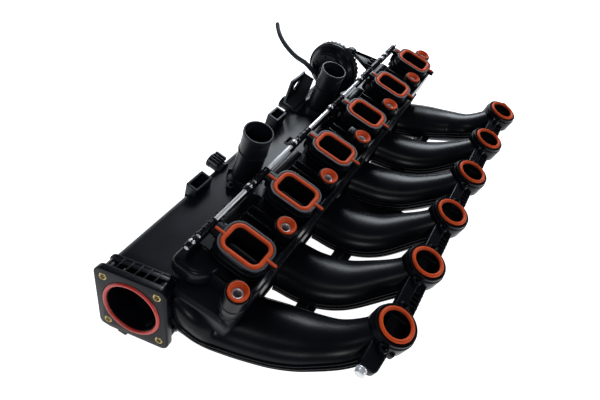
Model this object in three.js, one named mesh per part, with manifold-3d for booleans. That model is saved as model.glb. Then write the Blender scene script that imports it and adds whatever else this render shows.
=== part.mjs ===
// Six-cylinder intake manifold with swirl flaps. Millimetres, +Z up.
// Origin: on the head sealing face, midway along the row of swirl ports.
// +X runs along the row away from the throttle end, +Y points to the plenum side.
import * as THREE from 'three';
import { mergeVertices } from 'three/addons/utils/BufferGeometryUtils.js';
import Module from 'manifold-3d';

const wasm = await Module();
wasm.setup();

// ---------------------------------------------------------------- driving dimensions
const PORTS = 6;
const PITCH = 91; // cylinder spacing, which every repeat follows
const GAP = 0.3; // clearance between pieces that touch
const WALL = 3; // moulded wall

const portX = (k) => (k - (PORTS - 1) / 2) * PITCH;
const FRONT_PORT = portX(0);
const REAR_PORT = portX(PORTS - 1);

const bar = { front: FRONT_PORT - 34, rear: REAR_PORT + 22, right: -31, left: 29, floor: -45.7, deck: -21, deckDepth: 3 };
const collarBand = 3; // land outside each seal groove
const seal = { length: 49, width: 37, corner: 12, band: 5, below: 1.9, above: 1 };
const duct = { length: 38, width: 26, corner: 6.5 };
const tab = { width: 3.4, reach: 35.2, lean: -4 };
const grommet = { radius: 10.2, bore: 6.7, below: 5, above: 1.6 };
const sleeve = { radius: 6, bore: 4.4, length: 30 };
const bossRadius = 13.4;

const boltX = [FRONT_PORT - 43, ...[0, 1, 2, 3, 4].map((k) => portX(k) + 46), REAR_PORT + 29.5];
const boltY = [-22, -16.4, -16.4, -16.4, -16.4, -16.4, -4];

const flap = { shaftZ: -26, shaftRadius: 3, height: 24.4, length: 36.4, plate: 2.4, lever: 16, openTilt: 40 };
const link = { y: 40.6, z: -3, radius: 2.4, clipX: -31, clipHalf: 6 };

const plenum = { front: FRONT_PORT - 74, rear: REAR_PORT + 12, split: -92, seam: 0.15 };
const round = { x: 34.9, y: -160, top: -10.8, floor: -33, outer: 24, bore: 15.2, ringTube: 2.2, ringRadius: 17 };
const rail = { halfWidth: 9, floor: -31, top: -19, ear: 24, eyeRadius: 6 };

const throttle = { half: 40.5, corner: 9, depth: 25, plate: 8, bore: 28, bolt: 30, insert: 4.4, ring: 30.4, ringTube: 2 };
const can = { y: 83, z: -9, rim: 101.5, front: 86, rear: 121, rimRadius: 37, radius: 33.5, bossRadius: 12 };
const ball = { x: 162.5, radius: 3.4 };

// ---------------------------------------------------------------- materials
const black = () => new THREE.MeshStandardMaterial({ color: 0x17191d, roughness: 0.42, metalness: 0 });
const satin = () => new THREE.MeshStandardMaterial({ color: 0x22252b, roughness: 0.5, metalness: 0 });
const orange = () => new THREE.MeshStandardMaterial({ color: 0xd9481c, roughness: 0.55, metalness: 0 });
const redRubber = () => new THREE.MeshStandardMaterial({ color: 0xa51f1c, roughness: 0.5, metalness: 0 });
const zinc = () => new THREE.MeshStandardMaterial({ color: 0xc9ccd0, roughness: 0.3, metalness: 1 });
const brass = () => new THREE.MeshStandardMaterial({ color: 0xa98f45, roughness: 0.35, metalness: 1 });
const hoseRubber = () => new THREE.MeshStandardMaterial({ color: 0x202226, roughness: 0.7, metalness: 0 });

// ---------------------------------------------------------------- solids
function solid(geometry) {
  const bare = geometry.clone();
  bare.deleteAttribute('normal');
  bare.deleteAttribute('uv');
  const merged = mergeVertices(bare, 1e-4);
  const corners = merged.index.array;
  const kept = [];
  for (let i = 0; i < corners.length; i += 3) {
    const [a, b, c] = [corners[i], corners[i + 1], corners[i + 2]];
    if (a !== b && b !== c && c !== a) kept.push(a, b, c);
  }
  return new wasm.Manifold(new wasm.Mesh({
    numProp: 3,
    vertProperties: new Float32Array(merged.attributes.position.array),
    triVerts: new Uint32Array(kept),
  }));
}

function geometryOf(body) {
  const mesh = body.getMesh();
  const geometry = new THREE.BufferGeometry();
  geometry.setAttribute('position', new THREE.BufferAttribute(mesh.vertProperties, 3));
  geometry.setIndex(new THREE.BufferAttribute(mesh.triVerts, 1));
  const faceted = geometry.toNonIndexed();
  faceted.computeVertexNormals();
  return faceted;
}

const join = (...bodies) => bodies.reduce((sum, body) => sum.add(body));
const cut = (body, ...tools) => tools.reduce((rest, tool) => rest.subtract(tool), body);

function box(x0, x1, y0, y1, z0, z1) {
  const geometry = new THREE.BoxGeometry(x1 - x0, y1 - y0, z1 - z0);
  geometry.translate((x0 + x1) / 2, (y0 + y1) / 2, (z0 + z1) / 2);
  return solid(geometry);
}

function drum(length, radius, sides, tip = radius) {
  return new THREE.CylinderGeometry(tip, radius, length, sides);
}

function drumX(x0, x1, y, z, radius, sides = 20, tip = radius) {
  const geometry = drum(x1 - x0, radius, sides, tip);
  geometry.rotateZ(-Math.PI / 2);
  geometry.translate((x0 + x1) / 2, y, z);
  return solid(geometry);
}

function drumY(x, y0, y1, z, radius, sides = 16) {
  const geometry = drum(y1 - y0, radius, sides);
  geometry.translate(x, (y0 + y1) / 2, z);
  return solid(geometry);
}

function drumZ(x, y, z0, z1, radius, sides = 20, tip = radius) {
  const geometry = drum(z1 - z0, radius, sides, tip);
  geometry.rotateX(Math.PI / 2);
  geometry.translate(x, y, (z0 + z1) / 2);
  return solid(geometry);
}

function roundedRectangle(width, length, corner) {
  const [w, l] = [width / 2 - corner, length / 2 - corner];
  const shape = new THREE.Shape();
  shape.absarc(w, l, corner, 0, Math.PI / 2, false);
  shape.absarc(-w, l, corner, Math.PI / 2, Math.PI, false);
  shape.absarc(-w, -l, corner, Math.PI, 1.5 * Math.PI, false);
  shape.absarc(w, -l, corner, 1.5 * Math.PI, 2 * Math.PI, false);
  shape.closePath();
  return shape;
}

function prismZ(shape, z0, z1, x = 0, y = 0, curveSegments = 4) {
  const geometry = new THREE.ExtrudeGeometry(shape, { depth: z1 - z0, bevelEnabled: false, curveSegments });
  geometry.translate(x, y, z0);
  return solid(geometry);
}

// A prism along X whose section is given as [y, z] corners.
function prismX(section, x0, x1) {
  const shape = new THREE.Shape(section.map(([y, z]) => new THREE.Vector2(y, z)));
  const geometry = new THREE.ExtrudeGeometry(shape, { depth: x1 - x0, bevelEnabled: false });
  const turn = new THREE.Matrix4().set(0, 0, 1, x0, 1, 0, 0, 0, 0, 1, 0, 0, 0, 0, 0, 1);
  geometry.applyMatrix4(turn);
  return solid(geometry);
}

// A ring turned about Z: the profile is a closed list of [radius, z] corners.
function ringZ(profile, x, y, sides) {
  const points = profile.map(([r, z]) => new THREE.Vector2(r, z));
  points.push(points[0].clone());
  const geometry = new THREE.LatheGeometry(points, sides);
  geometry.rotateX(Math.PI / 2);
  geometry.translate(x, y, 0);
  return solid(geometry);
}

// A ring of round section lying flat, centred on z.
function cordRing(x, y, z, radius, tube, sides, around = 5) {
  const geometry = new THREE.TorusGeometry(radius, tube, around, sides);
  geometry.translate(x, y, z);
  return solid(geometry);
}

// A tube skin swept along a curve, with its own half-width and half-height at each station.
function loft(curve, halfWidth, halfHeight, squareness, sides, steps) {
  const geometry = new THREE.CylinderGeometry(1, 1, 1, sides, steps);
  const place = geometry.attributes.position;
  const acrossRow = new THREE.Vector3(1, 0, 0);
  for (let i = 0; i < place.count; i += 1) {
    const t = place.getY(i) + 0.5;
    const along = curve.getTangentAt(t);
    const side = acrossRow.clone().addScaledVector(along, -along.x).normalize();
    const rise = along.clone().cross(side);
    const swell = (value) => Math.sign(value) * Math.abs(value) ** squareness(t);
    const point = curve.getPointAt(t);
    point.addScaledVector(side, swell(place.getX(i)) * halfWidth(t));
    point.addScaledVector(rise, -swell(place.getZ(i)) * halfHeight(t));
    place.setXYZ(i, point.x, point.y, point.z);
  }
  return solid(geometry);
}

const manifold = new THREE.Group();

function addPart(name, body, material) {
  const mesh = new THREE.Mesh(geometryOf(body), material);
  mesh.name = name;
  manifold.add(mesh);
  return mesh;
}

// ---------------------------------------------------------------- throttle flange frame
const throttleCentre = new THREE.Vector3(FRONT_PORT - 87, 58, -81);
const throttleNormal = new THREE.Vector3(-0.96, -0.1, 0.24).normalize();
const throttleUp = new THREE.Vector3(0.21, 0.29, 0.93);
throttleUp.addScaledVector(throttleNormal, -throttleUp.dot(throttleNormal)).normalize();
const throttleAcross = throttleUp.clone().cross(throttleNormal);
const throttlePlace = new THREE.Matrix4()
  .makeBasis(throttleAcross, throttleUp, throttleNormal)
  .setPosition(throttleCentre);

function atThrottle(body) {
  const geometry = geometryOf(body);
  geometry.applyMatrix4(throttlePlace);
  return solid(geometry);
}

// ---------------------------------------------------------------- runners
const RUNNER_SIDES = 10;
const RUNNER_STEPS = 7;
const runnerRoot = { y: -33, halfWidth: 34, halfHeight: 24 };
const bellyShift = [0, -6, -4, -1, 0, 5]; // the runners fan out a little in the middle of their bends

function runnerCurve(k) {
  const route = [[-34, -12, -88], [-28, -35, -86], [-19, -69, -80], [-8, -101, -70], [6, -129, -55], [23, -150, -41]];
  const points = route.map(([x, y, z], i) => {
    const shift = i === 2 || i === 3 ? bellyShift[k] : 0;
    return new THREE.Vector3(portX(k) + x + shift, y, z);
  });
  points.push(new THREE.Vector3(portX(k) + round.x, round.y, round.floor + 3));
  points.push(new THREE.Vector3(portX(k) + round.x, round.y, round.floor + 12));
  return new THREE.CatmullRomCurve3(points, false, 'centripetal');
}

function runnerSkin(k, inset) {
  const halfWidth = (t) => THREE.MathUtils.lerp(runnerRoot.halfWidth, 21, THREE.MathUtils.smoothstep(t, 0.3, 0.95)) - inset;
  const halfHeight = (t) => THREE.MathUtils.lerp(runnerRoot.halfHeight, 21, THREE.MathUtils.smoothstep(t, 0.3, 0.95)) - inset;
  const squareness = (t) => THREE.MathUtils.lerp(0.72, 1, THREE.MathUtils.smoothstep(t, 0.3, 0.9));
  return loft(runnerCurve(k), halfWidth, halfHeight, squareness, RUNNER_SIDES, RUNNER_STEPS);
}

const runnerOuter = [];
const runnerInner = [];
const runnerClear = [];
for (let k = 0; k < PORTS; k += 1) {
  runnerOuter.push(runnerSkin(k, 0));
  runnerInner.push(runnerSkin(k, WALL));
  runnerClear.push(runnerSkin(k, -GAP));
}

// A tie web reaches from each runner to the next; between the third and fourth it fills the whole gap.
function tieWeb(k) {
  const x = portX(k);
  if (k === 2) return box(x, x + 75, -120, -36, -88, -82);
  return box(x - 10, x + 75, -87, -70, -91, -79);
}

const railCut = box(FRONT_PORT - 60, REAR_PORT + 90, round.y - 40, round.y + 40, round.floor - GAP, 20);
const plenumSide = box(plenum.front - 60, plenum.rear + 60, runnerRoot.y - GAP, 60, -200, 20);
for (let k = 0; k < PORTS; k += 1) {
  let body = runnerOuter[k];
  if (k < PORTS - 1) body = join(body, cut(tieWeb(k), runnerClear[k + 1]));
  body = cut(body, runnerInner[k], railCut, plenumSide);
  const pieces = body.decompose();
  const largest = pieces.reduce((best, piece) => (piece.volume() > best.volume() ? piece : best));
  addPart(`runner_${k + 1}`, largest, black());
}

// ---------------------------------------------------------------- round port rail
const lugFace = FRONT_PORT - 17;
const boltAxis = { y: round.y + 7, z: rail.floor + 5 };
let railBody = box(
  portX(0) + round.x - rail.ear, portX(5) + round.x + rail.ear,
  round.y - rail.halfWidth - 7, round.y + rail.halfWidth, rail.floor, rail.top,
);
for (let k = 0; k < PORTS; k += 1) {
  const x = portX(k) + round.x;
  railBody = join(railBody, drumZ(x, round.y, round.floor, round.top, round.outer, 16));
  for (const side of [-1, 1]) {
    railBody = join(railBody, drumZ(x + side * 27, round.y, rail.floor, rail.top + 5, rail.eyeRadius, 6));
  }
}
railBody = join(railBody, box(lugFace, FRONT_PORT + 12, round.y - 7, round.y + 13, rail.floor, rail.top - 2));
for (let k = 0; k < PORTS; k += 1) {
  const x = portX(k) + round.x;
  railBody = cut(
    railBody,
    drumZ(x, round.y, round.floor - 1, 0, round.bore, 16),
    ringZ([[14, round.top - 1.9], [round.ringRadius + 2.5, round.top - 1.9], [round.ringRadius + 2.5, 0], [14, 0]], x, round.y, 16),
  );
}
railBody = cut(railBody, drumX(lugFace - 1, FRONT_PORT - 3, boltAxis.y, boltAxis.z, 3.3, 8));
addPart('round_port_rail', railBody, black());

addPart('front_bolt', join(
  drumX(lugFace - GAP - 7, lugFace - GAP, boltAxis.y, boltAxis.z, 5.6, 6),
  drumX(lugFace - 1, FRONT_PORT - 4, boltAxis.y, boltAxis.z, 3, 8),
), zinc());

for (let k = 0; k < PORTS; k += 1) {
  const ringZ0 = round.top + 0.4 + GAP;
  addPart(
    `port_o_ring_${k + 1}`,
    cordRing(portX(k) + round.x, round.y, ringZ0, round.ringRadius, round.ringTube, 16, 4),
    orange(),
  );
}

// ---------------------------------------------------------------- swirl port bar
const ductShape = (grow) => roundedRectangle(duct.width + 2 * grow, duct.length + 2 * grow, duct.corner + grow);

const deckFloor = bar.deck - bar.deckDepth;
let barBody = join(
  box(bar.front, bar.rear, bar.right, bar.left, deckFloor, bar.deck),
  box(bar.front, bar.rear, bar.right, bar.right + WALL, bar.floor, bar.deck + 12),
  box(bar.front, bar.rear, bar.left - WALL, bar.left, bar.floor, bar.deck),
  box(bar.front, bar.front + WALL, bar.right, bar.left, bar.floor, bar.deck),
  box(bar.rear - WALL, bar.rear, bar.right, bar.left, bar.floor, bar.deck),
  cut(
    box(FRONT_PORT - 48, FRONT_PORT - 15, 6, 45, bar.floor, bar.deck + 1),
    box(FRONT_PORT - 45, FRONT_PORT - 18, bar.left, 42, bar.floor - 1, bar.deck - 2),
  ),
  box(-6, 6, -8, 3, deckFloor, 0),
);
for (let k = 0; k < PORTS; k += 1) {
  const x = portX(k);
  const collar = roundedRectangle(
    seal.width + 2 * collarBand, seal.length + 2 * collarBand, seal.corner + collarBand,
  );
  barBody = join(
    barBody,
    prismZ(collar, deckFloor, 0, x, 0, 1),
    box(x - duct.width / 2 - WALL, x + duct.width / 2 + WALL, -22, 22, bar.floor, deckFloor + 1),
    box(x - 13, x + 6, seal.length / 2, tab.reach + 1.3, -5, 0),
    box(x - 4, x + 4, -36.4, -seal.length / 2, -6, 0),
    box(x - 5, x + 5, 20, bar.left, deckFloor - 8, deckFloor + 1),
  );
}
boltX.forEach((x, i) => {
  barBody = join(barBody, drumZ(x, boltY[i], -sleeve.length, 0, bossRadius, 10));
});
barBody = join(
  barBody,
  box(boltX[0] - 9, boltX[0] + 14, boltY[0] - 6, boltY[0] + 9, bar.floor, bar.deck),
  box(bar.rear - 4, boltX[PORTS], boltY[PORTS] - 8, boltY[PORTS] + 8, -sleeve.length, -7),
);
for (let k = 0; k < PORTS; k += 1) {
  const x = portX(k);
  const groove = roundedRectangle(seal.width + 0.6, seal.length + 0.6, seal.corner + 0.3);
  const tabSlot = tab.width / 2 + GAP;
  barBody = cut(
    barBody,
    prismZ(ductShape(0), bar.floor - 1, 1, x, 0, 1),
    prismZ(groove, -seal.below - GAP, 1, x, 0, 1),
    box(x + tab.lean - tabSlot, x + tab.lean + tabSlot, seal.length / 2 - 2, tab.reach + GAP, -seal.below - GAP, 1),
    box(x - tabSlot, x + tabSlot, -tab.reach - GAP, -seal.length / 2 + 2, -seal.below - GAP, 1),
    drumY(x, -duct.length / 2 - 2.3, bar.left + 1, flap.shaftZ, flap.shaftRadius + GAP, 8),
  );
}
boltX.forEach((x, i) => {
  barBody = cut(
    barBody,
    drumZ(x, boltY[i], -sleeve.length - 20, 1, sleeve.radius + GAP, 8),
    drumZ(x, boltY[i], -grommet.below - GAP, 1, grommet.radius + GAP, 10),
  );
});
addPart('swirl_port_bar', barBody, black());

for (let k = 0; k < PORTS; k += 1) {
  const x = portX(k);
  const band = roundedRectangle(seal.width, seal.length, seal.corner);
  const inside = seal.corner - seal.band;
  band.holes.push(roundedRectangle(seal.width - 2 * seal.band, seal.length - 2 * seal.band, inside));
  const halfTab = tab.width / 2;
  addPart(`swirl_seal_${k + 1}`, join(
    prismZ(band, -seal.below, seal.above, x, 0, 1),
    box(x + tab.lean - halfTab, x + tab.lean + halfTab, seal.length / 2 - 1.5, tab.reach, -seal.below, seal.above),
    box(x - halfTab, x + halfTab, -tab.reach, -seal.length / 2 + 1.5, -seal.below, seal.above),
  ), orange());
}

boltX.forEach((x, i) => {
  const { radius, bore, below, above } = grommet;
  const profile = [[bore, -below], [radius, -below], [radius, above], [bore, above]];
  addPart(`bolt_grommet_${i + 1}`, ringZ(profile, x, boltY[i], 10), orange());
});

boltX.forEach((x, i) => {
  const [low, high] = [-sleeve.length + 1, 0.2];
  const profile = [[sleeve.bore, low], [sleeve.radius, low], [sleeve.radius, high], [sleeve.bore, high]];
  addPart(`bolt_sleeve_${i + 1}`, ringZ(profile, x, boltY[i], 8), zinc());
});

// ---------------------------------------------------------------- plenum shells
const outerSection = [
  [-33, -46], [28, -46], [99, -62.4], [105, -67], [107, -75], [107, -107], [99, -121], [90, -125],
  [30, -123], [-22, -114], [-33, -106],
];
const innerSection = [
  [-30, -49], [27.4, -49], [98, -65.5], [102, -69], [104, -75.5], [104, -106], [97, -118.4], [89, -122],
  [30, -120], [-21, -111], [-30, -104.4],
];
const snout = { y: 69, radius: 16.5, bore: 13.5 };
const snouts = [{ x: FRONT_PORT + 107.5, top: 24 }, { x: FRONT_PORT + 288, top: 18 }];
const deckPlane = (y) => -46 - ((y - 28) * 15.5) / 67; // height of the sloping deck at y

let plenumBody = prismX(outerSection, plenum.front, plenum.rear);
const clipStubs = [{ x: FRONT_PORT + 106, z: -64 }, { x: FRONT_PORT + 272, z: -66 }];
plenumBody = join(
  plenumBody,
  ...snouts.map(({ x, top }) => drumZ(x, snout.y, deckPlane(snout.y) - 6, top, snout.radius, 14)),
  box(FRONT_PORT + 46, FRONT_PORT + 74, 92, 108, -74, -48),
  box(FRONT_PORT + 207, FRONT_PORT + 231, 90, 107, -72, -42),
  box(FRONT_PORT + 97, FRONT_PORT + 115, 102, 117, -58, -53),
  drumZ(FRONT_PORT + 82, 71, deckPlane(71) - 2, deckPlane(71) + 7, 5, 8),
  ...clipStubs.map(({ x, z }) => drumY(x, 97, 119, z, 8.5, 8)),
);
plenumBody = cut(
  plenumBody,
  prismX(innerSection, plenum.front + WALL, plenum.rear - WALL),
  ...snouts.map(({ x, top }) => drumZ(x, snout.y, deckPlane(snout.y) - 12, top + 1, snout.bore, 14)),
  box(FRONT_PORT + 49, FRONT_PORT + 71, 95, 105, -60, -40),
  box(FRONT_PORT + 210, FRONT_PORT + 228, 93, 104, -58, -30),
  ...clipStubs.map(({ x, z }) => drumY(x, 108, 121, z, 6, 8)),
);
// The far end slopes the way the last runner leaves, and the near corner is cut back beside the throttle.
const slopedEnds = [
  [[REAR_PORT + 3, -34], [REAR_PORT - 74, 108], [REAR_PORT + 80, 108], [REAR_PORT + 80, -34]],
  [[FRONT_PORT - 80, 12], [FRONT_PORT - 74, 12], [FRONT_PORT - 56, -34], [FRONT_PORT - 80, -34]],
];
const endShape = (corners) => new THREE.Shape(corners.map(([x, y]) => new THREE.Vector2(x, y)));
plenumBody = cut(plenumBody, ...slopedEnds.map((corners) => prismZ(endShape(corners), -200, 100)));
const farWall = endShape([[REAR_PORT + 3, -33], [REAR_PORT - 71, 103.4], [REAR_PORT - 74.4, 103.4], [REAR_PORT - 0.4, -33]]);
const nearWall = endShape([[FRONT_PORT - 74, 12], [FRONT_PORT - 56.4, -33], [FRONT_PORT - 53, -33], [FRONT_PORT - 70.6, 12]]);
const plenumFill = prismX(outerSection, plenum.front, plenum.rear);
plenumBody = join(
  plenumBody,
  prismZ(farWall, -200, 100).intersect(plenumFill),
  prismZ(nearWall, -200, 100).intersect(plenumFill),
);
for (let k = 0; k < PORTS; k += 1) {
  plenumBody = cut(plenumBody, runnerInner[k], prismZ(ductShape(0), -60, -40, portX(k), 0, 1));
}
const throttleFront = prismZ(roundedRectangle(120, 130, 2), -throttle.depth - GAP, 80, 0, 0, 1);
const throttleBore = drumZ(0, 0, -throttle.depth - 20, 1, throttle.bore, 20);
plenumBody = cut(plenumBody, atThrottle(throttleFront), atThrottle(throttleBore));

const upperHalf = box(-600, 600, -300, 300, plenum.split + plenum.seam, 100);
const lowerHalf = box(-600, 600, -300, 300, -300, plenum.split - plenum.seam);
const largestOf = (body) => body.decompose().reduce((best, piece) => (piece.volume() > best.volume() ? piece : best));
addPart('plenum_upper_shell', largestOf(plenumBody.intersect(upperHalf)), satin());
addPart('plenum_lower_shell', largestOf(plenumBody.intersect(lowerHalf)), satin());

// ---------------------------------------------------------------- throttle flange
const plateShape = roundedRectangle(2 * throttle.half, 2 * throttle.half, throttle.corner);
let flangeBody = join(
  prismZ(plateShape, -throttle.plate, 0, 0, 0, 2),
  prismZ(plateShape, -throttle.depth, -throttle.depth + 5, 0, 0, 2),
  drumZ(0, 0, -throttle.depth, 0, throttle.bore + WALL, 20),
);
const ribReach = throttle.half - 1.5;
for (const at of [-13, 13]) {
  flangeBody = join(
    flangeBody,
    box(at - 1.2, at + 1.2, -ribReach, ribReach, -throttle.depth, -1),
    box(-ribReach, ribReach, at - 1.2, at + 1.2, -throttle.depth, -1),
  );
}
flangeBody = join(flangeBody, drumZ(-14, -throttle.half, -throttle.plate, 0, 6, 8));
const insertSpots = [[-1, 1], [1, 1], [1, -1], [-1, -1]].map(([x, y]) => [x * throttle.bolt, y * throttle.bolt]);
for (const [x, y] of insertSpots) {
  flangeBody = join(flangeBody, drumZ(x, y, -throttle.depth, 0, 7.5, 8));
}
flangeBody = cut(flangeBody, drumZ(0, 0, -throttle.depth - 1, 1, throttle.bore, 20));
flangeBody = cut(flangeBody, ringZ([[27, -2.3], [throttle.ring + 2.4, -2.3], [throttle.ring + 2.4, 1], [27, 1]], 0, 0, 20));
for (const [x, y] of insertSpots) {
  flangeBody = cut(flangeBody, drumZ(x, y, -14, 1, throttle.insert + GAP, 8));
}
addPart('throttle_flange', atThrottle(flangeBody), black());

insertSpots.forEach(([x, y], i) => {
  const profile = [[2.6, -13.5], [throttle.insert, -13.5], [throttle.insert, 0], [2.6, 0]];
  addPart(`throttle_insert_${i + 1}`, atThrottle(ringZ(profile, x, y, 8)), brass());
});
addPart('throttle_o_ring', atThrottle(cordRing(0, 0, 0, throttle.ring, throttle.ringTube, 22)), redRubber());

// ---------------------------------------------------------------- swirl flaps
const tilt = THREE.MathUtils.degToRad(flap.openTilt);
const pin = { x: flap.lever * Math.sin(tilt), z: flap.shaftZ + flap.lever * Math.cos(tilt) };
const leverY = { inner: bar.left + 0.8, outer: bar.left + 4.6 };

for (let k = 0; k < PORTS; k += 1) {
  const plate = prismZ(roundedRectangle(flap.height, flap.length, 6.5), -flap.plate / 2, flap.plate / 2, 0, 0, 1);
  const upright = geometryOf(plate);
  upright.rotateY(Math.PI / 2);
  upright.translate(0, 0, flap.shaftZ);
  const arm = new THREE.BoxGeometry(7.4, leverY.outer - leverY.inner, flap.lever + 7);
  arm.translate(0, (leverY.inner + leverY.outer) / 2, flap.lever / 2);
  arm.rotateY(tilt);
  arm.translate(0, 0, flap.shaftZ);
  const body = join(
    solid(upright),
    drumY(0, -duct.length / 2 - 2, leverY.outer, flap.shaftZ, flap.shaftRadius, 8),
    solid(arm),
    drumY(pin.x, leverY.inner, link.y + 2.6, pin.z, 1.8, 6),
  );
  const mesh = addPart(`swirl_flap_${k + 1}`, body, satin());
  mesh.position.x = portX(k);
}

// ---------------------------------------------------------------- link rod with its clips
let linkBody = drumX(FRONT_PORT + link.clipX - 8, REAR_PORT + link.clipX + 8, link.y, link.z, link.radius, 8);
for (let k = 0; k < PORTS; k += 1) {
  const x = portX(k) + link.clipX;
  const eye = portX(k) + pin.x;
  linkBody = join(
    linkBody,
    box(x - link.clipHalf, x + link.clipHalf, link.y - 3.6, link.y + 3.8, link.z - 5, link.z + 4),
    box(x - 3, x + 3, link.y - 2, link.y + 2, pin.z, link.z),
    box(x - 3, eye + 4, link.y - 2, link.y + 2, pin.z - 3.6, pin.z + 3.6),
  );
}
for (let k = 0; k < PORTS; k += 1) {
  linkBody = cut(linkBody, drumY(portX(k) + pin.x, link.y - 4, link.y + 4, pin.z, 1.8 + GAP, 6));
}
addPart('link_rod', linkBody, zinc());

// ---------------------------------------------------------------- drive arm
const armBase = { x0: portX(4) + 7, x1: portX(4) + 42 };
const armOutline = new THREE.Shape();
armOutline.moveTo(armBase.x0, link.y + 4);
armOutline.lineTo(armBase.x1, link.y + 4);
armOutline.lineTo(ball.x + 3.5, can.y - 4);
armOutline.lineTo(ball.x - 3.5, can.y - 4);
armOutline.closePath();
let armBody = join(
  prismZ(armOutline, -10, -4),
  box(armBase.x0, armBase.x1, link.y - 3.6, link.y + 4.4, -10, link.z + 4.4),
  drumZ(ball.x, can.y, can.z - 5.5, can.z + 7, 7.2, 12),
);
armBody = cut(
  armBody,
  drumX(armBase.x0 - 1, armBase.x1 + 1, link.y, link.z, link.radius + GAP, 8),
  drumZ(ball.x, can.y, can.z - 6, can.z + 5, 4.7, 10),
  box(ball.x - 12, ball.x, can.y - 2.7, can.y + 2.7, can.z - 6, can.z + 2.8),
);
addPart('drive_arm', armBody, black());

// ---------------------------------------------------------------- vacuum actuator
function lobeX(profile, sides) {
  const points = profile.map(([x, r]) => new THREE.Vector2(r, x));
  points.push(points[0].clone());
  const geometry = new THREE.LatheGeometry(points, sides);
  geometry.rotateZ(-Math.PI / 2);
  geometry.translate(0, can.y, can.z);
  return solid(geometry);
}

const CAN_SIDES = 18;
addPart('actuator_body', lobeX([
  [can.rear - 3, 2.8], [can.rear - 3, 17], [can.rear - 7, 26], [can.rim + 0.2, 30], [can.rim + 0.2, can.rimRadius],
  [can.rim + 5, can.rimRadius], [can.rim + 5, can.radius], [can.rear - 3, 28], [can.rear, 20], [can.rear, 2.8],
], CAN_SIDES), black());

const nipple = { x: 80.6, y: 93, z: -17.4, exit: 97.6 };
let coverBody = lobeX([
  [can.front - 8, 8.5], [can.front - 8, can.bossRadius], [can.front, can.bossRadius], [can.front, 25],
  [can.front + 4, 29.5], [can.rim - 4.5, can.radius], [can.rim - 4.5, can.rimRadius], [can.rim - 0.1, can.rimRadius],
  [can.rim - 0.1, 29], [can.front + 6, 26], [can.front + 2.6, 23], [can.front + 2.6, 3], [can.front - 2, 3], [can.front - 2, 8.5],
], CAN_SIDES);
coverBody = join(
  coverBody,
  drumX(nipple.x - 3.4, can.front + 1, nipple.y, nipple.z, 4, 10),
  drumY(nipple.x, nipple.y, nipple.exit - GAP, nipple.z, 2.6, 8),
);
addPart('actuator_cover', coverBody, black());

const plateX = can.rear - 8;
addPart('actuator_rod', join(
  drumX(plateX - 2, ball.x, can.y, can.z, 2, 8),
  drumX(plateX - 2, plateX + 1, can.y, can.z, 15, 12),
  (() => {
    const head = new THREE.SphereGeometry(ball.radius, 8, 5);
    head.translate(ball.x, can.y, can.z);
    return solid(head);
  })(),
), zinc());

const coil = { radius: 11, wire: 0.9, turns: 3, from: can.front + 4, to: plateX - 3.2 };
class CoilCurve extends THREE.Curve {
  getPoint(t, target = new THREE.Vector3()) {
    const angle = t * coil.turns * 2 * Math.PI;
    const x = THREE.MathUtils.lerp(coil.from, coil.to, t);
    return target.set(x, can.y + coil.radius * Math.cos(angle), can.z + coil.radius * Math.sin(angle));
  }
}
const wireShape = new THREE.Shape();
wireShape.absarc(0, 0, coil.wire, 0, 2 * Math.PI, false);
const wireGeometry = new THREE.ExtrudeGeometry(wireShape, {
  steps: coil.turns * 8, curveSegments: 3, extrudePath: new CoilCurve(),
});
addPart('actuator_spring', solid(wireGeometry), zinc());

const bracketTop = (y) => deckPlane(y) + GAP + 0.1;
const strapX = { from: 34, main: 79, to: can.rear + GAP + 3 };
const strapFrom = (y) => [[y, bracketTop(y)], [96.5, bracketTop(96.5)], [96.5, bracketTop(96.5) + 3], [y, bracketTop(y) + 3]];
let bracketBody = join(
  drumX(can.rear + GAP, strapX.to, can.y, can.z, 22, 16),
  box(can.rear + GAP, strapX.to, can.y - 14, can.y + 14, -54, can.z),
  prismX(strapFrom(62), strapX.main, strapX.to),
  prismX(strapFrom(87), strapX.from, strapX.to),
  prismX([[62, bracketTop(62)], [65, bracketTop(62)], [65, -34], [62, -34]], 84, strapX.to),
  box(can.rim + 6, strapX.to, 60.5, 65, -40, -30),
  box(strapX.from, strapX.from + 36, 93.5, 96.5, bracketTop(93.5), -54.2),
  box(strapX.from, strapX.from + 36, 93.5, 112, -57.2, -54.2),
  box(strapX.from, strapX.from + 36, 109, 112, -57.2, -18),
  box(strapX.from + 33, strapX.from + 36, 93.5, 112, -57.2, -20),
);
bracketBody = cut(
  bracketBody,
  drumX(can.rear - 2, can.rear + 6, can.y, can.z, 8, 12),
  drumY(strapX.from + 20, 105, 115, -34, 8, 10),
  drumX(can.rim - 14, can.rear + GAP, can.y, can.z, can.rimRadius + 1, 18),
);
addPart('actuator_bracket', bracketBody, satin());

// ---------------------------------------------------------------- vacuum hose
const hoseRoute = [
  [80.6, 97.6, -17.4], [80.6, 101, -17.4], [81.4, 106.6, -16.8], [84, 113.5, -16.8], [88.8, 121.4, -18.8],
  [94, 130, -22.6], [99.4, 138.9, -26.4], [105.2, 148.6, -29.6], [111, 158.6, -31.5], [117.3, 169.6, -32.7],
  [124.9, 180.3, -34], [133.6, 190.4, -35.4], [143.4, 199.5, -37], [153.5, 207.8, -38.5], [164.1, 215.3, -40],
];
const hosePath = new THREE.CatmullRomCurve3(hoseRoute.map((point) => new THREE.Vector3(...point)));
const hoseSection = new THREE.Shape();
hoseSection.absarc(0, 0, 3.5, 0, 2 * Math.PI, false);
const hoseGeometry = new THREE.ExtrudeGeometry(hoseSection, { steps: 12, curveSegments: 4, extrudePath: hosePath });
addPart('vacuum_hose', solid(hoseGeometry), hoseRubber());

export default manifold;
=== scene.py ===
import math
import bmesh
import bpy
from mathutils import Matrix, Vector


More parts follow.
